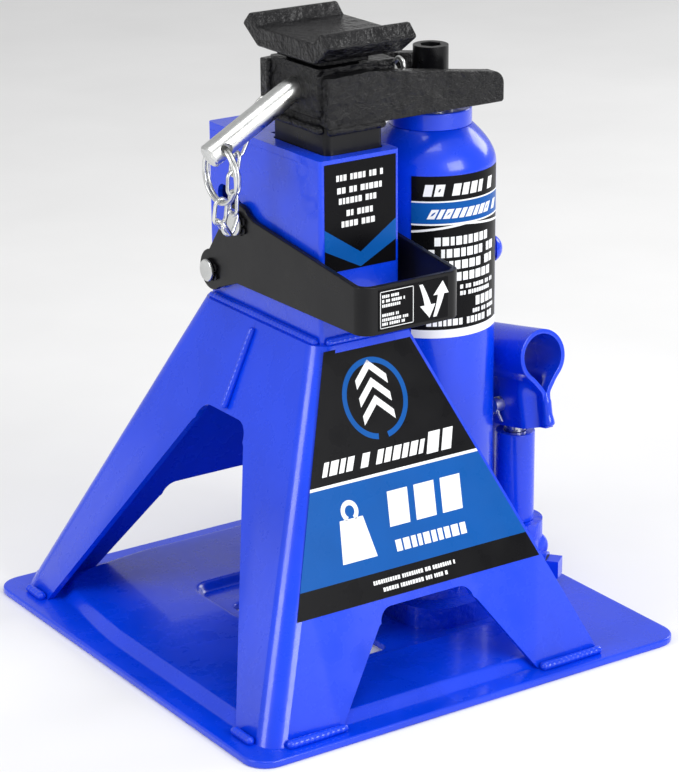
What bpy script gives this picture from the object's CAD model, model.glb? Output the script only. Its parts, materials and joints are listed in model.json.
import json
import math

import bmesh
import bpy
import numpy as np
from bpy.props import FloatProperty, FloatVectorProperty, PointerProperty
from bpy.types import Operator, Panel, PropertyGroup
from mathutils import Matrix, Vector


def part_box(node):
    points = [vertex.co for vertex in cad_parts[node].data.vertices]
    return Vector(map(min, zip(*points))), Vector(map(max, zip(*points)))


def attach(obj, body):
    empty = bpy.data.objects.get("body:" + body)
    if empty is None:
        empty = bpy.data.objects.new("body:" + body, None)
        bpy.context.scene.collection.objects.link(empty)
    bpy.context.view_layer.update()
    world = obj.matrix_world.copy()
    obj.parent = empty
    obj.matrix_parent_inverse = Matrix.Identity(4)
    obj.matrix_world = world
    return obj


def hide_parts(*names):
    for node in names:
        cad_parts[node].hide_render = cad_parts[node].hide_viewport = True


bl_info = {
    "name": "Bottle Jack Stand",
    "version": (1, 0, 0),
    "blender": (4, 5, 0),
    "location": "View3D > Sidebar > Jack Stand",
    "description": "Dresses a bottle jack support stand: plate, welds, labels, pin, chain and paint",
    "category": "Object",
}

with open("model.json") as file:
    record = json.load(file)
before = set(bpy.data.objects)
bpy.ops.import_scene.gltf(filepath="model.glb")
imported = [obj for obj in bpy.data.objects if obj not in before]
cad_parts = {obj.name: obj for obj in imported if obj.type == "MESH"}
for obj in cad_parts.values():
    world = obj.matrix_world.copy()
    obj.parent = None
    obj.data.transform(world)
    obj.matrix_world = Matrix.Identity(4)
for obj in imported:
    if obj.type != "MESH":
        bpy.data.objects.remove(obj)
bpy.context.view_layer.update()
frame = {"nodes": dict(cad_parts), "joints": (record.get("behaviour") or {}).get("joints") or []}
NODES = frame["nodes"]
JOINTS = {joint["name"]: joint for joint in frame["joints"]}
MM = 0.001


def node_box(node):
    """Lowest and highest corner of a CAD node, as two arrays in metres."""
    low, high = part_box(node)
    return np.array(low, float), np.array(high, float)


# --- sizes and colours ---


class PlateSizes(PropertyGroup):
    """The pressed base plate."""

    thickness: FloatProperty(
        name="Thickness", description="Thickness of the pressed sheet", default=4 * MM, unit="LENGTH")
    press: FloatProperty(
        name="Press depth", description="Height the panel is pressed up", default=5 * MM, unit="LENGTH")
    step: FloatProperty(
        name="Step width", description="Width of the soft step round the panel",
        default=7 * MM, unit="LENGTH")
    corner: FloatProperty(
        name="Corner radius", description="Radius of the plate's corners",
        default=13 * MM, unit="LENGTH")
    rim: FloatProperty(
        name="Rim radius", description="Rounding of the cut edges", default=1.1 * MM, unit="LENGTH")


class WeldSizes(PropertyGroup):
    """Weld beads."""

    radius: FloatProperty(
        name="Bead radius", description="Radius of a weld bead", default=2.4 * MM, unit="LENGTH")
    pitch: FloatProperty(
        name="Ripple pitch", description="Distance between a bead's ripples",
        default=3.1 * MM, unit="LENGTH")
    ripple: FloatProperty(
        name="Ripple depth", description="Depth of a ripple against the bead's radius",
        default=0.1, subtype="FACTOR")


class PinSizes(PropertyGroup):
    """The bent locking pin and what hangs on it."""

    radius: FloatProperty(
        name="Pin radius", description="Radius of the bent pin", default=6.35 * MM, unit="LENGTH")
    bend: FloatProperty(
        name="Bend radius", description="Radius of the bend at the pin's centre line",
        default=11 * MM, unit="LENGTH")
    drop: FloatProperty(
        name="Drop", description="Angle of the bent leg below level",
        default=math.radians(29), subtype="ANGLE")
    leg: FloatProperty(
        name="Leg length", description="Length from the bend's corner to the tip",
        default=56.5 * MM, unit="LENGTH")
    corner: FloatProperty(
        name="Corner", description="Distance of the bend's corner outside the head",
        default=1.5 * MM, unit="LENGTH")
    eye: FloatProperty(
        name="Eye radius", description="Radius of the cross hole", default=3.5 * MM, unit="LENGTH")
    ring: FloatProperty(
        name="Ring radius", description="Radius of the split ring", default=14.5 * MM, unit="LENGTH")
    wire: FloatProperty(
        name="Ring wire", description="Radius of the split ring's wire",
        default=1.0 * MM, unit="LENGTH")
    link: FloatProperty(
        name="Link half width", description="Half width of a chain link at its wire's centre",
        default=3.4 * MM, unit="LENGTH")


class PaintColours(PropertyGroup):
    """Paint, plating and label colours."""

    blue: FloatVectorProperty(
        name="Blue enamel", description="Main paint",
        default=(0.0, 0.045, 0.72), subtype="COLOR", size=3)
    black: FloatVectorProperty(
        name="Black enamel", description="Paint of the lifting parts",
        default=(0.004, 0.004, 0.005), subtype="COLOR", size=3)
    zinc: FloatVectorProperty(
        name="Zinc plating", description="Pins, ring and chain",
        default=(0.70, 0.71, 0.70), subtype="COLOR", size=3)
    steel: FloatVectorProperty(
        name="Ground steel", description="Ram and plunger",
        default=(0.55, 0.55, 0.56), subtype="COLOR", size=3)
    label_blue: FloatVectorProperty(
        name="Label blue", description="Blue bands of the labels",
        default=(0.003, 0.088, 0.36), subtype="COLOR", size=3)
    label_white: FloatVectorProperty(
        name="Label white", description="White marks of the labels",
        default=(0.86, 0.87, 0.88), subtype="COLOR", size=3)


class StageSizes(PropertyGroup):
    """Camera and lights."""

    place: FloatVectorProperty(
        name="Camera", description="Place of the camera",
        default=(-0.763, -1.146, 0.615), subtype="TRANSLATION", size=3)
    yaw: FloatProperty(
        name="Yaw", description="Turn of the view from +Y towards +X",
        default=math.radians(33.91), subtype="ANGLE")
    pitch: FloatProperty(
        name="Pitch", description="Tilt of the view below level",
        default=math.radians(19.32), subtype="ANGLE")
    roll: FloatProperty(
        name="Roll", description="Roll of the view", default=math.radians(-0.43), subtype="ANGLE")
    lens: FloatProperty(name="Lens", description="Focal length in millimetres", default=128.0)
    key: FloatProperty(
        name="Key light", description="Power of the key light", default=18.0, subtype="POWER")
    sky: FloatProperty(
        name="Sky", description="Strength of the even light from all round", default=0.56)


# --- surfaces ---


def new_piece(name, shape, finishes, body, slot, *replaces):
    """A smooth-shaded mesh piece from a shape's points and faces, riding on a body."""
    points, faces = shape
    mesh = bpy.data.meshes.new(name)
    mesh.from_pydata(points.tolist(), [], faces)
    mesh.update()
    return dress(bpy.data.objects.new(name, mesh), finishes, body, replaces)


def smooth(mesh):
    """Shades a mesh smooth between its sharp edges."""
    mesh.shade_smooth()
    mesh.set_sharp_from_angle(angle=math.radians(38))


def dress(piece, finishes, body, replaces):
    """Links a piece, gives it one finish or several and smooth shading, and ties it to its body."""
    bpy.context.scene.collection.objects.link(piece)
    piece.data.materials.clear()
    for finish in [finishes] if isinstance(finishes, str) else finishes:
        piece.data.materials.append(FINISHES[finish])
    smooth(piece.data)
    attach(piece, body)
    if replaces:
        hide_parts(*replaces)
    return piece


def grid_faces(rows, columns, wrap_rows=False, wrap_columns=False):
    """Quads between neighbouring rows and columns of a grid, closed up where it wraps."""
    i, j = np.meshgrid(np.arange(rows if wrap_rows else rows - 1),
                       np.arange(columns if wrap_columns else columns - 1), indexing="ij")
    i, j = i.ravel(), j.ravel()
    i2, j2 = (i + 1) % rows, (j + 1) % columns
    quads = np.stack([i * columns + j, i * columns + j2, i2 * columns + j2, i2 * columns + j], axis=1)
    return quads.tolist()


def unit(vectors):
    """Vectors scaled to length one."""
    return vectors / np.linalg.norm(vectors, axis=-1, keepdims=True)


def tube(path, radius, sides=16, closed=False, up=(0, 0, 1)):
    """Points and faces of a tube: at each point of the path, a circle in the plane across the path's
    direction, of that point's radius. radius is a number, one for each path point, or an array
    with a column for each side. Open tubes end in flat caps."""
    path = np.asarray(path, float)
    if closed:
        along = unit(np.roll(path, -1, axis=0) - np.roll(path, 1, axis=0))
    else:
        along = unit(np.gradient(path, axis=0))
    side = unit(np.cross(along, np.asarray(up, float)))
    over = np.cross(side, along)
    turn = np.linspace(0, 2 * np.pi, sides, endpoint=False)
    radius = np.asarray(radius, float)
    if radius.ndim == 1:
        radius = radius[:, None]
    radius = np.broadcast_to(radius, (len(path), sides))
    spokes = (np.cos(turn)[None, :, None] * side[:, None, :]
              + np.sin(turn)[None, :, None] * over[:, None, :])
    points = path[:, None, :] + radius[:, :, None] * spokes
    faces = grid_faces(len(path), sides, wrap_rows=closed, wrap_columns=True)
    if not closed:
        last = (len(path) - 1) * sides
        faces.append(list(range(sides))[::-1])
        faces.append([last + k for k in range(sides)])
    return points.reshape(-1, 3), [face[::-1] for face in faces]


def joined(parts):
    """Several (points, faces) pairs as one pair."""
    points, faces, count = [], [], 0
    for some_points, some_faces in parts:
        points.append(some_points)
        faces += [[k + count for k in face] for face in some_faces]
        count += len(some_points)
    return np.concatenate(points), faces


def smooth_path(points, count):
    """A curve through the points, by cubic Hermite pieces whose slopes join each point's neighbours."""
    points = np.asarray(points, float)
    slope = np.gradient(points, axis=0)
    s = np.linspace(0, len(points) - 1, count)
    i = np.minimum(s.astype(int), len(points) - 2)
    t = (s - i)[:, None]
    a, b, m, n = points[i], points[i + 1], slope[i], slope[i + 1]
    return ((2 * t**3 - 3 * t**2 + 1) * a + (t**3 - 2 * t**2 + t) * m
            + (-2 * t**3 + 3 * t**2) * b + (t**3 - t**2) * n)


def even_path(corners, spacing):
    """Points at even distances along straight stretches between corners."""
    corners = np.asarray(corners, float)
    steps = np.linalg.norm(np.diff(corners, axis=0), axis=1)
    at = np.concatenate([[0], np.cumsum(steps)])
    s = np.linspace(0, at[-1], max(int(at[-1] / spacing), 4))
    return np.stack([np.interp(s, at, corners[:, k]) for k in range(3)], axis=1)


def smoothstep(t):
    """0 below 0, 1 above 1, and 3t^2 - 2t^3 between."""
    t = np.clip(t, 0, 1)
    return t * t * (3 - 2 * t)


def outside_rounded(x, y, low, high, radius):
    """Distance outside a rounded rectangle, negative inside it."""
    centre, half = (np.array(low) + high) / 2, (np.array(high) - low) / 2
    dx = np.abs(x - centre[0]) - half[0] + radius
    dy = np.abs(y - centre[1]) - half[1] + radius
    return np.hypot(np.maximum(dx, 0), np.maximum(dy, 0)) + np.minimum(np.maximum(dx, dy), 0) - radius


def rounded_edges(piece, width, segments, angle):
    """Adds a bevel on the edges that bend by more than an angle in degrees."""
    edges = piece.modifiers.new("Rounded edges", "BEVEL")
    edges.width = width
    edges.segments = segments
    edges.limit_method = "ANGLE"
    edges.angle_limit = math.radians(angle)
    return edges


def softened(node, width, finish, body, segments=2):
    """A copy of a CAD node's solid with its flats merged and its sharp edges rounded by a bevel
    whose width is in millimetres."""
    weld_distance, flat_angle = 2e-6, math.radians(0.4)
    mesh = NODES[node].data.copy()
    solid = bmesh.new()
    solid.from_mesh(mesh)
    bmesh.ops.remove_doubles(solid, verts=solid.verts, dist=weld_distance)
    bmesh.ops.dissolve_limit(solid, angle_limit=flat_angle, verts=solid.verts, edges=solid.edges)
    solid.to_mesh(mesh)
    solid.free()
    piece = dress(bpy.data.objects.new(node + "_finished", mesh), finish, body, [node])
    rounded_edges(piece, width * MM, segments, 34).harden_normals = True


def weld_bead(corners, radius, seed, up=(0, 0, 1)):
    """A bead along a path: a tube whose radius rises and falls in crescents, because the ripple's
    phase runs ahead at the bead's crown, with a slow wander of thickness, and round tapered ends."""
    sizes = bpy.context.scene.jack_welds
    path = even_path(corners, 0.45 * MM)
    length = np.linalg.norm(path[-1] - path[0])
    s = np.linspace(0, length, len(path))
    random = np.random.default_rng(seed)
    waves = 4
    wander = sum(random.uniform(0.3, 1)
                 * np.sin(s / (random.uniform(4, 14) * MM) + random.uniform(0, 6))
                 for _ in range(waves)) / waves
    sides = 18
    turn = np.linspace(0, 2 * np.pi, sides, endpoint=False)
    phase = s[:, None] / sizes.pitch + 0.06 * wander[:, None] - 0.32 * np.sin(turn)[None, :]
    crescent = np.abs(np.sin(np.pi * phase)) ** 0.7
    nose = np.sqrt(np.clip(1 - (1 - np.minimum(s, length - s) / radius).clip(0, 1) ** 2, 0.02, 1))
    lumps = 1 - sizes.ripple + sizes.ripple * crescent + 0.16 * wander[:, None]
    thick = radius * nose[:, None] * lumps
    sway = unit(np.cross(path[-1] - path[0], up)[None, :]) * (wander * 0.25 * MM)[:, None]
    return tube(path + sway, thick, sides, up=up)


# --- finishes ---


class Finish:
    """A node material under construction: add nodes, then link them by socket name."""

    def __init__(self, name):
        self.material = bpy.data.materials.new(name)
        self.material.use_nodes = True
        self.tree = self.material.node_tree
        self.shader = self.tree.nodes["Principled BSDF"]
        self.place = self.add("ShaderNodeTexCoord").outputs["Object"]

    def add(self, kind, **values):
        """A node with values on its inputs."""
        node = self.tree.nodes.new(kind)
        for key, value in values.items():
            node.inputs[key].default_value = value
        return node

    def link(self, source, target):
        """Joins an output to an input."""
        self.tree.links.new(source, target)

    def noise(self, scale, detail=3.0, roughness=0.5, stretch=(1, 1, 1)):
        """Fractal noise on the object's own coordinates, stretched along its axes."""
        place = self.add("ShaderNodeMapping")
        place.inputs["Scale"].default_value = stretch
        self.link(self.place, place.inputs["Vector"])
        node = self.add("ShaderNodeTexNoise", Scale=scale, Detail=detail, Roughness=roughness)
        self.link(place.outputs["Vector"], node.inputs["Vector"])
        return node.outputs["Fac"]

    def colour(self, factor, stops):
        """Base colour from a ramp with (position, colour) stops."""
        node = self.add("ShaderNodeValToRGB")
        ends = node.color_ramp.elements
        for _ in range(len(stops) - 2):
            ends.new(0.5)
        for end, (position, colour) in zip(ends, stops):
            end.position = position
            end.color = (*colour, 1) if np.ndim(colour) else (colour, colour, colour, 1)
        self.link(factor, node.inputs["Fac"])
        self.link(node.outputs["Color"], self.shader.inputs["Base Color"])

    def roughness(self, factor, low, high):
        """Roughness from low to high, as the factor goes from 0.3 to 0.7."""
        node = self.add("ShaderNodeMapRange")
        node.inputs["From Min"].default_value = 0.3
        node.inputs["From Max"].default_value = 0.7
        node.inputs["To Min"].default_value = low
        node.inputs["To Max"].default_value = high
        self.link(factor, node.inputs["Value"])
        self.link(node.outputs["Result"], self.shader.inputs["Roughness"])

    def bump(self, *layers):
        """Bump layers of (height, strength, distance), one on another, into the shader's normal."""
        normal = None
        for height, strength, distance in layers:
            node = self.add("ShaderNodeBump", Strength=strength, Distance=distance)
            self.link(height, node.inputs["Height"])
            if normal is not None:
                self.link(normal, node.inputs["Normal"])
            normal = node.outputs["Normal"]
        self.link(normal, self.shader.inputs["Normal"])

    def constant(self, **values):
        """Values that are the same all over, set on the shader's own sockets."""
        for key, value in values.items():
            self.shader.inputs[key.replace("_", " ")].default_value = value


def shade(colour, factor):
    """A colour made lighter or darker."""
    return tuple(min(1.0, c * factor) for c in colour)


def enamel(name, colour, coat=0.35, peel=0.05, cast=0.0, specular=0.4, rough=(0.2, 0.36)):
    """Sprayed enamel: orange peel, slow changes of tone, dull patches, and a cast ground under it."""
    finish = Finish(name)
    tone = finish.noise(14, 4)
    finish.colour(tone, [(0.3, shade(colour, 0.84)), (0.5, colour), (0.72, shade(colour, 1.12))])
    finish.roughness(finish.noise(55, 6, 0.6), *rough)
    finish.constant(Coat_Weight=coat, Coat_Roughness=0.06, Specular_IOR_Level=specular)
    layers = [(finish.noise(38, 2), 0.35, 0.0006), (finish.noise(950, 2), peel, 0.0004)]
    if cast:
        layers.insert(0, (finish.noise(260, 4, 0.6), cast, 0.003))
        layers.insert(0, (finish.noise(85, 3, 0.5), cast, 0.005))
    finish.bump(*layers)
    return finish.material


def plating(name, colour, low=0.22, high=0.42, brushed=(1, 1, 1)):
    """Bright zinc plating: metal with cloudy roughness, fine brushing and small dull spots."""
    finish = Finish(name)
    cloud = finish.noise(45, 5, 0.6)
    finish.colour(cloud, [(0.3, shade(colour, 0.78)), (0.55, colour), (0.75, (0.80, 0.79, 0.74))])
    finish.roughness(finish.noise(160, 6, 0.7, brushed), low, high)
    finish.constant(Metallic=1.0)
    finish.bump((finish.noise(60, 3), 0.25, 0.0005),
                (finish.noise(700, 4, 0.7, brushed), 0.12, 0.0003))
    return finish.material


def seal_rubber(name):
    """Dull black rubber with a faint moulded grain."""
    finish = Finish(name)
    finish.colour(finish.noise(90, 4), [(0.3, 0.012), (0.7, 0.03)])
    finish.roughness(finish.noise(200, 4), 0.55, 0.8)
    finish.bump((finish.noise(800, 3), 0.2, 0.0002))
    return finish.material


def vinyl(name, colour):
    """Printed vinyl film: a glossy skin with a very faint ripple and print tone."""
    finish = Finish(name)
    finish.colour(finish.noise(30, 3), [(0.3, shade(colour, 0.93)), (0.7, shade(colour, 1.05))])
    finish.roughness(finish.noise(70, 4), 0.24, 0.36)
    finish.constant(Specular_IOR_Level=0.1)
    finish.bump((finish.noise(40, 2), 0.12, 0.0004))
    return finish.material


def pale_floor(name):
    """Matt pale floor with a barely visible mottle."""
    finish = Finish(name)
    finish.colour(finish.noise(6, 3), [(0.3, 0.86), (0.7, 0.9)])
    finish.constant(Roughness=0.75)
    finish.bump((finish.noise(300, 2), 0.05, 0.0002))
    return finish.material


FINISHES = {}


def make_finishes():
    """Every finish of the object, by name."""
    c = bpy.context.scene.jack_colours
    FINISHES.update(
        blue=enamel("Blue enamel", tuple(c.blue)),
        blue_cast=enamel("Blue enamel on casting", tuple(c.blue), cast=0.35),
        weld=enamel("Blue enamel on weld", tuple(c.blue), peel=0.12),
        black=enamel("Black enamel", tuple(c.black), coat=0.08, specular=0.2, rough=(0.25, 0.42)),
        black_cast=enamel("Black enamel on casting", tuple(c.black), coat=0.05, peel=0.1,
                          cast=0.9, specular=0.24, rough=(0.1, 0.22)),
        zinc=plating("Zinc plating", tuple(c.zinc)),
        pin_zinc=plating("Zinc plated pin", tuple(c.zinc), 0.2, 0.4, (0.25, 1, 1)),
        steel=plating("Ground steel", tuple(c.steel), 0.16, 0.3, (1, 1, 0.15)),
        rubber=seal_rubber("Seal rubber"),
        label_black=vinyl("Label black", (0.003, 0.003, 0.004)),
        label_blue=vinyl("Label blue", tuple(c.label_blue)),
        label_white=vinyl("Label white", tuple(c.label_white)),
        floor=pale_floor("Pale floor"),
    )


# --- base plate ---


def base_plate_surface():
    """Pressed sheet. Rays from the hole's centre cut the hole's and the plate's outlines. Along each
    ray the section runs over the top, round the outer rim, back under and round the hole's rim. The
    height is the sheet's thickness, plus a soft step up in the panel, less one down in the seat."""
    p = bpy.context.scene.jack_plate
    low, high = node_box("base_plate")
    hole_low, hole_high = np.array([-43, -61]) * MM, np.array([-3.5, 34]) * MM
    panel_low, panel_high = np.array([-117.5, -121.5]) * MM, np.array([72.5, 121.5]) * MM
    seat_low, seat_high = np.array([-52, -72]) * MM, np.array([120, 58]) * MM
    rays, steps = 480, 110
    walk = np.linspace(0, 2 * np.pi, rays, endpoint=False)
    squared = np.maximum(np.abs(np.cos(walk)), np.abs(np.sin(walk)))
    half = (high - low)[:2] / 2
    aim = np.stack([half[0] * np.cos(walk) / squared, half[1] * np.sin(walk) / squared], axis=1)
    centre = (hole_low + hole_high) / 2
    ray = unit(aim - centre)

    def cut(box_low, box_high, radius):
        near, far = np.zeros(rays), np.full(rays, 0.4)
        for _ in range(30):
            middle = (near + far) / 2
            spot = centre + ray * middle[:, None]
            inside = outside_rounded(spot[:, 0], spot[:, 1], box_low, box_high, radius) < 0
            near, far = np.where(inside, middle, near), np.where(inside, far, middle)
        return near

    inner = cut(hole_low, hole_high, 6 * MM)
    outer = cut(low[:2], high[:2], p.corner)
    arc = np.linspace(0, np.pi / 2, 5)
    t, e = p.thickness, p.rim
    over = np.linspace(0, 1, steps)
    under = over[::-2][1:]
    out_top, out_low = e * np.sin(arc[1:]), e * np.cos(arc)
    drop_top, drop_low = e * (1 - np.cos(arc[1:])), t - e + e * np.sin(arc)
    share = np.concatenate([over, np.ones(9), under, np.zeros(8)])
    edge = np.concatenate([0 * over, out_top, out_low, 0 * under, -out_top, -out_low[:-1]])
    drop = np.concatenate([0 * over, drop_top, drop_low, t + 0 * under, t - drop_top,
                           t - drop_low[:-1]])
    reach = (inner + e)[:, None] + (outer - inner - 2 * e)[:, None] * share[None, :] + edge[None, :]
    x = centre[0] + ray[:, 0:1] * reach
    y = centre[1] + ray[:, 1:2] * reach
    bulge = 30 * MM * smoothstep((y - 20 * MM) / (90 * MM)) * smoothstep((-40 * MM - x) / (70 * MM))
    panel = smoothstep(0.5 - outside_rounded(x, y, panel_low, panel_high, 32 * MM) / p.step
                       - bulge * 0.25 / p.step)
    seat = smoothstep(0.5 - outside_rounded(x, y, seat_low, seat_high, 10 * MM) / (0.7 * p.step))
    z = t - drop + p.press * panel * (1 - seat)
    z = np.maximum(z, 0)
    points = np.stack([x, y, z], axis=2)
    return points.reshape(-1, 3), grid_faces(rays, points.shape[1], True, True)


class JACK_OT_base_plate(Operator):
    """Make the pressed base plate"""

    bl_idname = "jack.base_plate"
    bl_label = "Base Plate"

    def execute(self, context):
        new_piece("pressed_base_plate", base_plate_surface(), "blue", "stand", "blue_paint",
                  "base_plate")
        return {"FINISHED"}


# --- stand and tower ---


class JACK_OT_stand(Operator):
    """Make the bent sheets, the tower and their welds"""

    bl_idname = "jack.stand"
    bl_label = "Stand and Tower"

    def execute(self, context):
        radius = context.scene.jack_welds.radius
        for node, width in (("stand_front_sheet", 0.9), ("stand_rear_sheet", 0.9),
                            ("tower_tube", 0.8), ("tower_cap", 0.9)):
            softened(node, width, "blue", "stand", 3)
        foot_low, foot_high = node_box("stand_welds")
        z, y = foot_low[2] + 1.7 * MM, foot_high[1] - 2.2 * MM
        left = foot_low[0] + 2.2 * MM
        beads = []
        for i, s in enumerate((-1, 1)):
            for k, (a, b) in enumerate((((-0.112, y), (-0.076, y)), ((0.045, y), (0.085, y)),
                                        ((left, 0.1165), (left, 0.0985)))):
                ends = [[a[0], s * a[1], z], [b[0], s * b[1], z]]
                beads.append(weld_bead(ends, radius, 10 * (k + 1) + i))
        new_piece("foot_weld_beads", joined(beads), "weld", "stand", "blue_paint", "stand_welds")
        tower_low, tower_high = node_box("tower_tube")
        z = node_box("stand_front_sheet")[1][2] + 1.0 * MM
        front = tower_high[1] + 1.5 * MM
        side = tower_low[0] - 1.5 * MM
        seam = node_box("tower_welds")[0]
        thin = radius * 0.9
        beads = [weld_bead([[-0.037, s * front, z], [0.0095, s * front, z]], thin, 40 + s)
                 for s in (-1, 1)]
        beads.append(weld_bead([[side, -0.051, z], [side, 0.051, z]], thin, 50))
        beads.append(weld_bead([[seam[0] + 1.2 * MM, 0, seam[2]], [-0.0465, 0, z - 4 * MM]],
                               radius * 0.8, 60, up=(0, 1, 0)))
        new_piece("tower_weld_beads", joined(beads), "weld", "stand", "blue_paint", "tower_welds")
        return {"FINISHED"}


# --- labels ---


def prism(outline, base, thickness, lift):
    """A closed slab: the outline laid out by lift(u, v, height) at two heights, with side walls."""
    outline = np.asarray(outline, float)
    n = len(outline)
    under = lift(outline[:, 0], outline[:, 1], base)
    over = lift(outline[:, 0], outline[:, 1], base + thickness)
    faces = [list(range(n))[::-1], list(range(n, 2 * n))]
    faces += [[k, (k + 1) % n, n + (k + 1) % n, n + k] for k in range(n)]
    return np.concatenate([under, over]), faces


def strip(low, high, left, right):
    """A band between two heights whose ends lie on the lines left(v) and right(v)."""
    return [(left(low), low), (right(low), low), (right(high), high), (left(high), high)]


def chevron(u, v, half, rise, thick):
    """An upward chevron about (u, v)."""
    return [(u - half, v), (u, v + rise), (u + half, v), (u + half, v + thick), (u, v + rise + thick),
            (u - half, v + thick)]


def whites(outlines):
    """The outlines printed in white."""
    return [("label_white", outline, True) for outline in outlines]


def print_row(left, right, base, height, seed, lean=0.0):
    """White blocks of uneven width along a line, which stand for a row of small print, from sizes
    in millimetres."""
    left, right, base, height = (size * MM for size in (left, right, base, height))
    random = np.random.default_rng(seed)
    blocks, u = [], left
    while u + 0.8 * height < right:
        width = height * random.uniform(0.42, 0.8)
        blocks.append([(u, base), (u + width, base), (u + width + lean * height, base + height),
                       (u + lean * height, base + height)])
        u += width + height * (0.75 if random.random() < 0.16 else 0.2)
    return whites(blocks)


def curved_arrow(u, v, side, height, width):
    """A bent arrow from (u, v) up by height, or down if height is negative: a band whose middle line
    is a quarter sine wave to one side, and that widens towards a pointed head."""
    t = np.linspace(0, 0.62, 12)
    line = np.stack([u + side * np.sin(t * np.pi / 2), v + height * t], axis=1)
    half = (0.16 + 0.22 * t)[:, None] * width * np.array([1.0, 0.0])
    neck, tip = line[-1], np.array([u + 1.05 * side, v + height])
    head = np.array([neck + [0.72 * width, 0], tip, neck - [0.72 * width, 0]])
    outline = np.concatenate([line + half, head, (line - half)[::-1]])
    return (outline if height > 0 else outline[::-1]).tolist()


def ring_outline(u, v, outer, inner, sides, gap):
    """A ring sector that starts and ends beside a gap at the bottom."""
    turn = np.linspace(-np.pi / 2 + gap, 1.5 * np.pi - gap, sides)
    out = np.stack([u + outer * np.cos(turn), v + outer * np.sin(turn)], axis=1)
    back = np.stack([u + inner * np.cos(turn[::-1]), v + inner * np.sin(turn[::-1])], axis=1)
    return np.concatenate([out, back]).tolist()


def label_piece(name, layers, lift, body, node, ink=0.05 * MM):
    """A label of slabs. Each layer is (finish, outline, printed): film, or ink on top of the film."""
    finishes = ["label_black", "label_blue", "label_white"]
    film, air = 0.22 * MM, 0.02 * MM
    parts = [prism(outline, film if printed else air, ink if printed else film, lift)
             for _, outline, printed in layers]
    piece = new_piece(name, joined(parts), finishes, body, "label", node)
    index = np.concatenate([np.full(len(faces), finishes.index(layer[0]))
                            for (_, faces), layer in zip(parts, layers)])
    piece.data.polygons.foreach_set("material_index", index)
    piece.data.shade_flat()
    piece.data.update()


def front_facing(face_y):
    """A lift for a flat label that faces -Y, from the height of its face."""
    def lift(u, v, height):
        return np.stack([u, face_y - np.asarray(height) + 0 * u, v + 0 * u], axis=-1)

    return lift


def stand_label():
    """Front label: black and blue bands between two sloping ends, with a lifting sign, a weight sign,
    three leaning bars and rows of print."""
    low, high = node_box("stand_label")
    rise = (high[1] - low[1]) / (high[2] - low[2])
    normal = unit(np.array([0.0, -1.0, rise]))
    z0, z1 = low[2], high[2]
    y_face = low[1] + 0.3 * MM * math.sqrt(1 + rise * rise)

    def lift(u, v, height):
        flat = np.stack([u, y_face + (v - z0) * rise, v + 0 * u], axis=-1)
        return flat + np.asarray(height) * normal

    def left(v):
        return low[0] + (v - z0) / (z1 - z0) * 49 * MM

    def right(v):
        return high[0] - (v - z0) / (z1 - z0) * 50 * MM

    split, split_low, line = 114.5 * MM, 69.5 * MM, 1.4 * MM
    layers = [("label_black", strip(z0, split_low, left, right), False),
              ("label_blue", strip(split_low, split - line, left, right), False),
              ("label_white", strip(split - line, split, left, right), False),
              ("label_black", strip(split, z1, left, right), False)]
    sign = np.array([-17, 149]) * MM
    layers.append(("label_blue", ring_outline(*sign, 19.5 * MM, 16.8 * MM, 72, 0.16), True))
    layers += whites(chevron(sign[0], v * MM, 9.5 * MM, 8.5 * MM, 4.4 * MM)
                     for v in (137.5, 146, 154.5))
    layers += print_row(-58, 8, 118.5, 6.5, 3, 0.5)
    layers += print_row(6, 26, 117.5, 10, 5, 0.4)
    weight = np.array([(-57, 77), (-36, 77), (-39.5, 97), (-53.5, 97)]) * MM
    layers += whites([weight.tolist(),
                      ring_outline(-46.5 * MM, 100.5 * MM, 5.2 * MM, 2.8 * MM, 40, 0.5)])
    bar = np.array([(0, 88.5), (12.5, 88.5), (15, 105), (2.5, 105)])
    layers += whites(((bar + [u, 0]) * MM).tolist() for u in (-25, -8.5, 8))
    layers += print_row(-24, 22, 76.5, 5.5, 7)
    layers += print_row(-42, 10, 64, 1.9, 8)
    layers += print_row(-37, 4, 60, 1.9, 9)
    label_piece("front_panel_label", layers, lift, "stand", "stand_label")


def tower_label():
    """Tower label: a dark panel with rows of print over a blue chevron and a dark foot."""
    low, high = node_box("tower_label")
    x0, x1, z0, z1 = low[0], high[0], low[2], high[2]
    m = (x0 + x1) / 2
    upper, lower, dip = 236.5 * MM, 225.5 * MM, 11 * MM
    top = [(x0, upper), (m, upper - 1.3 * dip), (x1, upper), (x1, z1), (x0, z1)]
    wedge = [(x0, lower), (m, lower - dip), (x1, lower),
             (x1, upper), (m, upper - 1.3 * dip), (x0, upper)]
    foot = [(x0, z0), (x1, z0), (x1, lower), (m, lower - dip), (x0, lower)]
    layers = [("label_black", foot, False), ("label_blue", wedge, False),
              ("label_black", top, False)]
    rows = [(260.5, 14.5), (254, 14), (248.5, 13), (242, 8.5), (236.5, 11.5)]
    for k, (v, half) in enumerate(rows):
        layers += print_row(m / MM - half, m / MM + half, v, 3.1, 20 + k)
    label_piece("tower_side_label", layers, front_facing(high[1]), "stand", "tower_label")


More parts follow.
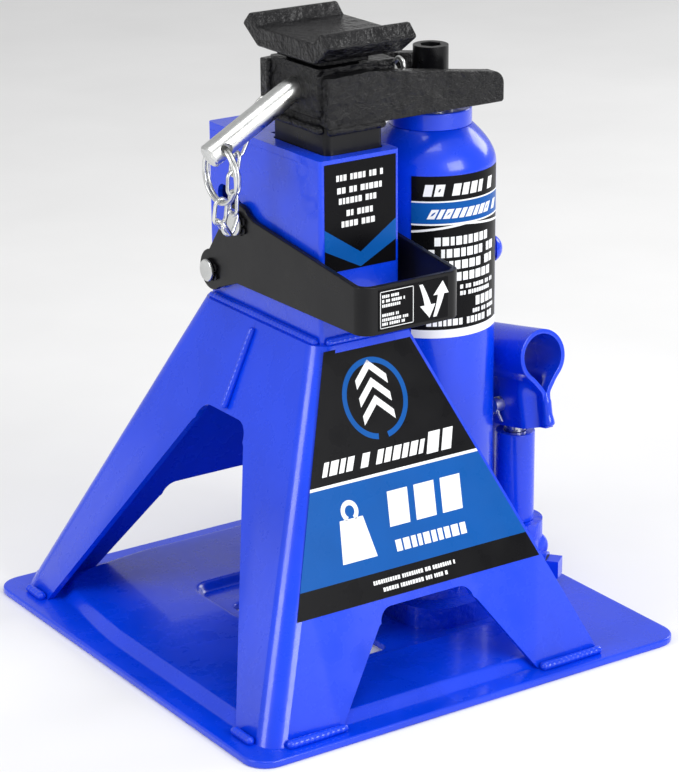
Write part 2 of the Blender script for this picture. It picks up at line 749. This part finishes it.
def bail_label():
    """Bail label: rows of print beside a bent arrow down and a bent arrow up."""
    low, high = node_box("bail_label")
    x0, x1, z0, z1 = low[0], high[0], low[2], high[2]
    layers = [("label_black", [(x0, z0), (x1, z0), (x1, z1), (x0, z1)], False)]
    frame_line = 0.35 * MM
    left, right, base, top = x0 + 1 * MM, x0 + 21 * MM, z0 + 1 * MM, z1 - 1 * MM
    for a, b, c, d in ((left, right, base, base + frame_line),
                       (left, right, top - frame_line, top),
                       (left, left + frame_line, base, top),
                       (right - frame_line, right, base, top)):
        layers += whites([[(a, c), (b, c), (b, d), (a, d)]])
    rows = [(16.6, 13), (14.2, 17), (11.8, 14), (7.0, 13), (4.6, 18), (2.4, 18)]
    for k, (v, b) in enumerate(rows):
        layers += print_row(x0 / MM + 2.2, x0 / MM + b, z0 / MM + v, 1.5, 30 + k)
    layers += whites([curved_arrow(x0 + 25.5 * MM, z1 - 1.5 * MM, 5 * MM, -18 * MM, 6.5 * MM),
                      curved_arrow(x0 + 34 * MM, z0 + 1.5 * MM, 4.5 * MM, 18 * MM, 6.5 * MM)])
    label_piece("bail_front_label", layers, front_facing(high[1]), "bail", "bail_label")


def jack_label():
    """Reservoir label: bands of film round part of the cylinder, each cut into narrow slabs, with rows
    of print. A place u along the label and v up it lies at the angle start + u / radius, height v."""
    low, high = node_box("reservoir_tube")
    centre, radius = (low + high)[:2] / 2, (high - low)[0] / 2
    start, span = math.radians(218), math.radians(97) * radius
    z1 = node_box("jack_label")[1][2]

    def lift(u, v, height):
        angle = start + u / radius
        out = radius + np.asarray(height)
        return np.stack([centre[0] + out * np.cos(angle), centre[1] + out * np.sin(angle), v + 0 * u],
                        axis=-1)

    def band(finish, base, top, printed=False, dip=0.0):
        """Narrow slabs side by side across the label, between two heights that dip in a V."""
        u = np.linspace(0, span, 49)
        fall = -dip * (1 - np.abs(2 * u / span - 1))
        low_edge, high_edge = list(zip(u, base + fall)), list(zip(u, top + fall))
        return [(finish, [low_edge[k], low_edge[k + 1], high_edge[k + 1], high_edge[k]], printed)
                for k in range(len(u) - 1)]

    cuts = [(164.5, 169, "label_white"), (169, 225.5, "label_black"),
            (225.5, 226.4, "label_white"), (226.4, 237.6, "label_blue"),
            (237.6, 238.4, "label_white"), (238.4, z1 / MM, "label_black")]
    layers = []
    for base, top, finish in cuts:
        layers += band(finish, base * MM, top * MM)
    layers += band("label_white", 221.5 * MM, 222.7 * MM, printed=True, dip=-3.5 * MM)
    rows = [(241, 6.2, 6, 56, 0.2), (229, 5, 8, 54, 0.5), (214.5, 4.6, 12, 46, 0),
            (208, 4.6, 9, 52, 0), (201.5, 4.6, 10, 52, 0), (195, 4.6, 8, 50, 0),
            (190.5, 2.2, 26, 52, 0), (187, 2.2, 26, 50, 0), (180, 5, 36, 54, 0),
            (176.2, 2.2, 34, 54, 0), (171, 3.6, 8, 52, 0)]
    for k, (v, height, a, b, lean) in enumerate(rows):
        layers += print_row(a, b, v, height, 40 + k, lean)
    label_piece("reservoir_label", layers, lift, "stand", "jack_label", ink=0.14 * MM)


class JACK_OT_labels(Operator):
    """Make the labels, with plain bands and signs"""

    bl_idname = "jack.labels"
    bl_label = "Labels"

    def execute(self, context):
        for make in (stand_label, tower_label, bail_label, jack_label):
            make()
        return {"FINISHED"}


# --- jack and pump ---


def socket_frame():
    """The socket's pivot, and its own forward and upward directions."""
    tilt = math.radians(10)
    forward = np.array([0, -math.cos(tilt), math.sin(tilt)])
    upward = np.array([0, math.sin(tilt), math.cos(tilt)])
    return np.array(JOINTS["handle_socket_tilt"]["pos_m"]), forward, upward


def socket_surface():
    """Rolled sheet: at each place along the tube, a section that climbs one flange, slants out to the
    tube, goes round it, and comes down the same way on the other side. The gap between the flanges
    opens from the mouth to the clevis, and the section is smoothed so that it folds in soft bends."""
    pivot, forward, upward = socket_frame()
    radius, centre, start = 13.75 * MM, 26.8 * MM, math.radians(33)
    along = np.linspace(-9.6, 54.6, 70) * MM
    opening = smoothstep((49.5 * MM - along) / (7 * MM))
    gap = 1.3 * MM + 7.55 * MM * opening
    foot = -12.4 * MM + 9.4 * MM * smoothstep((4 * MM - along) / (13 * MM))
    meet_x, meet_w = radius * math.sin(start), centre - radius * math.cos(start)
    pinch = 7.2 * MM + (meet_w - 8 * MM - 7.2 * MM) * opening
    knots = np.array([0, 34, 50])
    steps = np.arange(51)
    climb = np.stack([np.interp(steps, knots, [f, p, meet_w]) for f, p in zip(foot, pinch)])
    slant = np.stack([np.interp(steps, knots, [g, g, meet_x]) for g in gap])
    turn = np.linspace(start, 2 * np.pi - start, 82)[1:-1]
    ones = np.ones((len(along), 1))
    x = np.concatenate([-slant, -radius * np.sin(turn) * ones, slant[:, ::-1]], axis=1)
    w = np.concatenate([climb, (centre - radius * np.cos(turn)) * ones, climb[:, ::-1]], axis=1)
    for _ in range(10):
        x[:, 1:-1] = (x[:, :-2] + 2 * x[:, 1:-1] + x[:, 2:]) / 4
        w[:, 1:-1] = (w[:, :-2] + 2 * w[:, 1:-1] + w[:, 2:]) / 4
    points = (pivot + along[:, None, None] * forward + w[:, :, None] * upward
              + x[:, :, None] * np.array([1.0, 0, 0]))
    return points.reshape(-1, 3), grid_faces(len(along), x.shape[1])


def socket_seam():
    """Bead down the mouth's seam: a tube along a straight line whose radius swells towards its foot."""
    pivot, forward, upward = socket_frame()
    w = np.linspace(7.2, -12.0, 40)[:, None] * MM
    path = pivot + 53.6 * MM * forward + w * upward
    s = np.linspace(0, 1, 40)
    radius = (1.5 + 1.4 * smoothstep(s / 0.3) + 0.8 * smoothstep((s - 0.6) / 0.3)) * MM
    radius *= np.sqrt(np.clip(1 - np.maximum((s - 0.9) / 0.1, 0) ** 2, 0.02, 1))
    return tube(path, radius, 20, up=tuple(forward))


class JACK_OT_jack(Operator):
    """Make the jack's base, reservoir, pump and handle socket"""

    bl_idname = "jack.jack"
    bl_label = "Bottle Jack"

    def execute(self, context):
        softened("jack_base", 1.6, "blue_cast", "stand", 3)
        for node, width in (("reservoir_tube", 0.5), ("top_nut", 1.0), ("filler_plug", 0.3),
                            ("pump_cylinder", 0.7), ("valve_plugs", 0.3),
                            ("fulcrum_links", 0.5)):
            softened(node, width, "blue", "stand")
        softened("release_valve", 0.5, "blue", "valve")
        socket = new_piece("rolled_handle_socket", socket_surface(), "blue", "socket", "blue_paint",
                           "handle_socket")
        new_piece("socket_seam_bead", socket_seam(), "weld", "socket", "blue_paint")
        wall = socket.modifiers.new("Sheet", "SOLIDIFY")
        wall.thickness = 2.5 * MM
        wall.offset = 0
        rounded_edges(socket, 0.5 * MM, 2, 50)
        return {"FINISHED"}


# --- lifting head ---


class JACK_OT_head(Operator):
    """Make the post, arm, head, saddle and their welds"""

    bl_idname = "jack.head"
    bl_label = "Lifting Head"

    def execute(self, context):
        softened("post_tube", 0.6, "black", "lift")
        for node, width in (("arm_front_plate", 1.5), ("arm_rear_plate", 1.5), ("ram_pad", 1.2),
                            ("head_base", 0.6), ("head_box", 1.1)):
            softened(node, width, "black_cast", "lift", 3)
        softened("cap_screw", 0.6, "black", "lift")
        softened("saddle", 1.6, "black_cast", "saddle_fork", 4)
        softened("saddle_stem", 0.8, "black_cast", "saddle_fork")
        radius = context.scene.jack_welds.radius * 0.95
        low, high = node_box("post_tube")
        head_low, head_high = node_box("head_box")
        z = high[2] - 1.2 * MM
        front, back = low[1] - 1.2 * MM, high[1] + 1.2 * MM
        beads = [weld_bead([[low[0], y, z], [high[0], y, z]], radius, 70 + k)
                 for k, y in enumerate((front, back))]
        left = low[0] - 1.0 * MM
        beads.append(weld_bead([[left, low[1] + 2 * MM, z], [left, high[1] - 2 * MM, z]],
                               radius * 0.9, 80))
        corner = head_low[0] + 0.4 * MM
        for k, y in enumerate((head_low[1] - 0.6 * MM, head_high[1] + 0.6 * MM)):
            ends = [[corner, y, head_low[2] + 1 * MM], [corner, y, head_high[2] - 2 * MM]]
            beads.append(weld_bead(ends, radius, 84 + k, up=(1, 0, 0)))
        new_piece("head_weld_beads", joined(beads), "black_cast", "lift", "black_paint", "head_welds")
        return {"FINISHED"}


# --- locking pin, clip, ring and chain ---


EYE_FROM_TIP = 8.2 * MM
CLIP_FROM_END = 6 * MM
CLIP_TILT = math.radians(14)
CLIP_HOLE = 1.6 * MM


def pin_geometry():
    """The pin's axis point at the bend's corner, its leg's direction, its tip and its eye."""
    p = bpy.context.scene.jack_pin
    axis = np.array(JOINTS["locking_pin_turn"]["pos_m"])
    corner = axis - np.array([p.corner, 0, 0])
    leg = np.array([-math.cos(p.drop), 0, -math.sin(p.drop)])
    tip = corner + p.leg * leg
    return corner, leg, tip, tip - EYE_FROM_TIP * leg


def locking_pin():
    """Bent pin: a tube along a straight, an arc of a circle that touches both straights, and the leg,
    with the radius shrinking at both ends for the chamfers, and the eye cut across it."""
    p = bpy.context.scene.jack_pin
    corner, leg, tip, eye = pin_geometry()
    set_back = p.bend * math.tan(p.drop / 2)
    turn = np.linspace(0, p.drop, 24)[1:-1]
    centre = corner + np.array([set_back, 0, 0]) - np.array([0, 0, p.bend])
    arc = centre + p.bend * np.stack([-np.sin(turn), 0 * turn, np.cos(turn)], axis=1)
    end = np.array([node_box("locking_pin")[1][0], corner[1], corner[2]])
    chamfer = 1.0 * MM
    right = [end, end - [0.02 * MM, 0, 0], end - [chamfer, 0, 0], end - [1.2 * chamfer, 0, 0]]
    straight = np.linspace(end - [3 * MM, 0, 0], corner + [set_back, 0, 0], 30)
    leg_line = np.linspace(corner + set_back * leg, tip - 3 * MM * leg, 30)
    left = [tip - 1.2 * chamfer * leg, tip - chamfer * leg, tip - 0.02 * MM * leg, tip]
    path = np.concatenate([right, straight, arc, leg_line, left])
    radius = np.full(len(path), p.radius)
    radius[:2] = p.radius - chamfer
    radius[-2:] = p.radius - chamfer
    rod = tube(path, radius, 48, up=(0, 1, 0))
    pin = new_piece("bent_locking_pin", rod, "pin_zinc", "pin", "zinc", "locking_pin")
    across = np.linspace(-12, 12, 9)[:, None] * MM
    clip_way = np.array([0, math.cos(CLIP_TILT), -math.sin(CLIP_TILT)])
    clip_hole = end - np.array([CLIP_FROM_END, 0, 0])
    cut_away(pin, tube(eye + across * np.array([0, 1.0, 0]), p.eye, 40))
    cut_away(pin, tube(clip_hole + across * clip_way, CLIP_HOLE, 40))


def cut_away(piece, drill):
    """Takes a drill's solid out of a piece's mesh for good."""
    mesh = bpy.data.meshes.new("drill")
    mesh.from_pydata(drill[0].tolist(), [], drill[1])
    tool = bpy.data.objects.new("drill", mesh)
    bpy.context.scene.collection.objects.link(tool)
    cut = piece.modifiers.new("Cut", "BOOLEAN")
    cut.object = tool
    cut.solver = "EXACT"
    bpy.context.view_layer.update()
    finished = piece.evaluated_get(bpy.context.evaluated_depsgraph_get())
    done = bpy.data.meshes.new_from_object(finished)
    piece.modifiers.remove(cut)
    piece.data = done
    smooth(done)
    bpy.data.objects.remove(tool)


def hairpin_clip():
    """Hairpin clip: round wire along a straight leg, a half-turn loop and a waved leg over the pin."""
    corner = pin_geometry()[0]
    x = node_box("locking_pin")[1][0] - CLIP_FROM_END
    turn = np.radians(np.arange(0, 181, 20))
    loop = np.stack([-15 - 3.9 * np.sin(turn), 3.9 * (1 - np.cos(turn))], axis=1)
    flat = np.concatenate([[[16, 0], [8, 0], [0, 0], [-8, 0]], loop,
                           [[-11.5, 6.3], [-8, 6.6], [-4, 8], [0, 8.6], [4, 8], [8, 6],
                            [11, 5], [14, 6], [17, 8.6]]])
    y = flat[:, 0] * math.cos(CLIP_TILT) + flat[:, 1] * math.sin(CLIP_TILT)
    z = flat[:, 1] * math.cos(CLIP_TILT) - flat[:, 0] * math.sin(CLIP_TILT)
    route = np.stack([0 * y, y, z], axis=1) * MM + [x, corner[1], corner[2]]
    wire = tube(smooth_path(route, 160), 1.25 * MM, 14, up=(1, 0, 0))
    new_piece("spring_hairpin_clip", wire, "zinc", "pin", "zinc", "hairpin_clip")


def split_ring():
    """Split ring: a wire that makes two turns, stepping sideways by its own width half way round."""
    p = bpy.context.scene.jack_pin
    eye = pin_geometry()[3]
    centre = eye + np.array([0, 0, 0.6 * MM - p.ring])
    turn = np.linspace(0.1, 4 * np.pi - 0.1, 260)
    side = p.wire * (2.04 * smoothstep((turn - 1.55 * np.pi) / (0.9 * np.pi)) - 1.02)
    angle = turn + math.radians(200)
    path = centre + np.stack([side, p.ring * np.cos(angle), p.ring * np.sin(angle)], axis=1)
    wire = tube(path, p.wire, 14, up=(1, 0, 0))
    new_piece("split_pull_ring", wire, "zinc", "pin", "zinc", "pin_ring")


def chain_link(a, b, roll, half, wire):
    """A link: round wire round a stadium, which is two straights joined by half circles, that spans
    from joint a to joint b and is rolled about that line."""
    way = unit(b - a)
    side = unit(np.cross(way, [0, 1.0, 0]))
    over = np.cross(side, way)
    across = math.cos(roll) * side + math.sin(roll) * over
    run = np.linalg.norm(b - a) + 2 * wire + 0.2 * MM - 2 * half
    turn = np.linspace(0, np.pi, 15)
    cap = np.stack([half * np.cos(turn), half * np.sin(turn) + run / 2], axis=1)
    flat = np.concatenate([cap, -cap])
    path = (a + b) / 2 + flat[:, :1] * across + flat[:, 1:] * way
    return tube(path, wire, 10, closed=True, up=tuple(np.cross(across, way)))


def keeper_chain():
    """Keeper chain from the split ring's foot, down and back up to a wire lug on the pin's back."""
    p = bpy.context.scene.jack_pin
    corner, leg, _, eye = pin_geometry()
    ring_foot = eye + np.array([0, 0, 1.7 * MM - 2 * p.ring])
    lug = corner + 10 * MM * leg + np.array([0, p.radius + 1.9 * MM, 0])
    hanging = np.array([[-74, -14.5, 238.5], [-68, -11.5, 231.5], [-62.5, -9, 240],
                        [-61.6, -8.2, 250], [-60.8, -7.6, 260], [-58.5, -6.8, 269.6],
                        [-53.5, -6.2, 278], [-47.8, -6.2, 286.4]]) * MM
    joints = np.concatenate([[ring_foot], hanging, [lug + 1.1 * MM * leg]])
    links = [chain_link(joints[i], joints[i + 1], 0 if i % 2 == 0 else math.pi / 2, p.link, p.wire)
             for i in range(len(joints) - 1)]
    turn = np.linspace(0, 2 * np.pi, 48, endpoint=False)[:, None]
    circle = lug + 2.65 * MM * (np.cos(turn) * leg + np.sin(turn) * np.array([0, 1.0, 0]))
    links.append(tube(circle, 0.9 * MM, 12, closed=True, up=tuple(np.cross(leg, [0, 1.0, 0]))))
    new_piece("keeper_link_chain", joined(links), "zinc", "pin", "zinc", "keeper_chain")


class JACK_OT_pin(Operator):
    """Make the locking pin, hairpin clip, split ring and chain"""

    bl_idname = "jack.pin"
    bl_label = "Locking Pin"

    def execute(self, context):
        locking_pin()
        hairpin_clip()
        split_ring()
        keeper_chain()
        return {"FINISHED"}


# --- lock bail ---


class JACK_OT_bail(Operator):
    """Make the lock bail and its bars"""

    bl_idname = "jack.bail"
    bl_label = "Lock Bail"

    def execute(self, context):
        softened("lock_bail", 0.7, "black", "bail", 3)
        softened("lock_bar", 0.7, "zinc", "bail")
        softened("bail_pivot_shaft", 0.7, "zinc", "stand")
        return {"FINISHED"}


# --- parts whose shape is kept ---

KEPT = {
    "zinc": ["pivot_spacer", "base_screws", "check_balls", "fulcrum_cotter", "plunger_cotter",
             "plunger_pin"],
    "blue": ["link_base_pin", "fulcrum_pin"],
    "black": ["pivot_circlips", "bar_circlips"],
    "steel": ["pressure_cylinder", "valve_springs", "lock_washer", "ram", "pump_plunger"],
    "rubber": ["wiper_ring", "piston_seal", "plunger_seal", "valve_o_ring"],
    "black_cast": ["ratchet_rack"],
}


class JACK_OT_kept_parts(Operator):
    """Give the remaining parts their finishes"""

    bl_idname = "jack.kept_parts"
    bl_label = "Kept Parts"

    def execute(self, context):
        for finish, nodes in KEPT.items():
            for node in nodes:
                NODES[node].data.materials.clear()
                NODES[node].data.materials.append(FINISHES[finish])
        return {"FINISHED"}


# --- stage ---


def area_light(name, place, size, power):
    """A square soft light at a place, turned to face the object's middle."""
    light = bpy.data.lights.new(name, "AREA")
    light.energy = power
    light.size = size
    lamp = bpy.data.objects.new(name, light)
    lamp.location = place
    lamp.rotation_euler = (Vector((0, 0, 0.14)) - lamp.location).to_track_quat("-Z", "Y").to_euler()
    bpy.context.scene.collection.objects.link(lamp)


class JACK_OT_stage(Operator):
    """Set the camera, the lights and the floor"""

    bl_idname = "jack.stage"
    bl_label = "Stage"

    def execute(self, context):
        scene = context.scene
        s = scene.jack_stage
        camera = bpy.data.objects.new("camera", bpy.data.cameras.new("camera"))
        camera.data.lens = s.lens
        camera.data.sensor_width = 36
        camera.location = s.place
        camera.rotation_mode = "XYZ"
        turn = Matrix.Rotation(-s.yaw, 3, "Z") @ Matrix.Rotation(math.pi / 2 - s.pitch, 3, "X")
        camera.rotation_euler = (turn @ Matrix.Rotation(s.roll, 3, "Z")).to_euler()
        scene.collection.objects.link(camera)
        scene.camera = camera
        world = bpy.data.worlds.new("studio")
        world.use_nodes = True
        sky = world.node_tree.nodes["Background"].inputs
        sky["Color"].default_value = (1, 1, 1, 1)
        sky["Strength"].default_value = s.sky
        scene.world = world
        area_light("key_light", (0.35, -1.6, 0.8), 0.8, s.key)
        area_light("left_light", (-1.6, 0.1, 1.0), 0.7, s.key * 0.6)
        area_light("right_light", (1.7, 0.1, 0.9), 0.7, s.key * 0.5)
        area_light("top_light", (-0.2, -0.5, 1.8), 0.7, s.key * 0.4)
        mesh = bpy.data.meshes.new("floor")
        reach = 6.0
        corners = [(x * reach, y * reach, 0) for x, y in ((-1, -1), (1, -1), (1, 1), (-1, 1))]
        mesh.from_pydata(corners, [], [(0, 1, 2, 3)])
        floor = bpy.data.objects.new("floor", mesh)
        floor.data.materials.append(FINISHES["floor"])
        scene.collection.objects.link(floor)
        scene.view_settings.view_transform = "Standard"
        return {"FINISHED"}


class JACK_PT_pieces(Panel):
    """Buttons for each group of pieces"""

    bl_label = "Jack Stand"
    bl_idname = "JACK_PT_pieces"
    bl_space_type = "VIEW_3D"
    bl_region_type = "UI"
    bl_category = "Jack Stand"

    def draw(self, context):
        for operator in OPERATORS:
            self.layout.operator(operator.bl_idname)


GROUPS = {"jack_plate": PlateSizes, "jack_welds": WeldSizes, "jack_pin": PinSizes,
          "jack_colours": PaintColours, "jack_stage": StageSizes}
OPERATORS = (JACK_OT_stage, JACK_OT_base_plate, JACK_OT_stand, JACK_OT_labels, JACK_OT_jack,
             JACK_OT_head, JACK_OT_pin, JACK_OT_bail, JACK_OT_kept_parts)


def register():
    """Adds the classes and the sizes."""
    for kind in (*GROUPS.values(), *OPERATORS, JACK_PT_pieces):
        bpy.utils.register_class(kind)
    for name, kind in GROUPS.items():
        setattr(bpy.types.Scene, name, PointerProperty(type=kind))


def unregister():
    """Takes the sizes and the classes out again."""
    for name in GROUPS:
        delattr(bpy.types.Scene, name)
    for kind in (JACK_PT_pieces, *OPERATORS[::-1], *GROUPS.values()):
        bpy.utils.unregister_class(kind)


def main():
    """Makes every piece."""
    register()
    make_finishes()
    for operator in OPERATORS:
        getattr(bpy.ops.jack, operator.bl_idname.split(".")[1])()


if __name__ == "__main__":
    main()
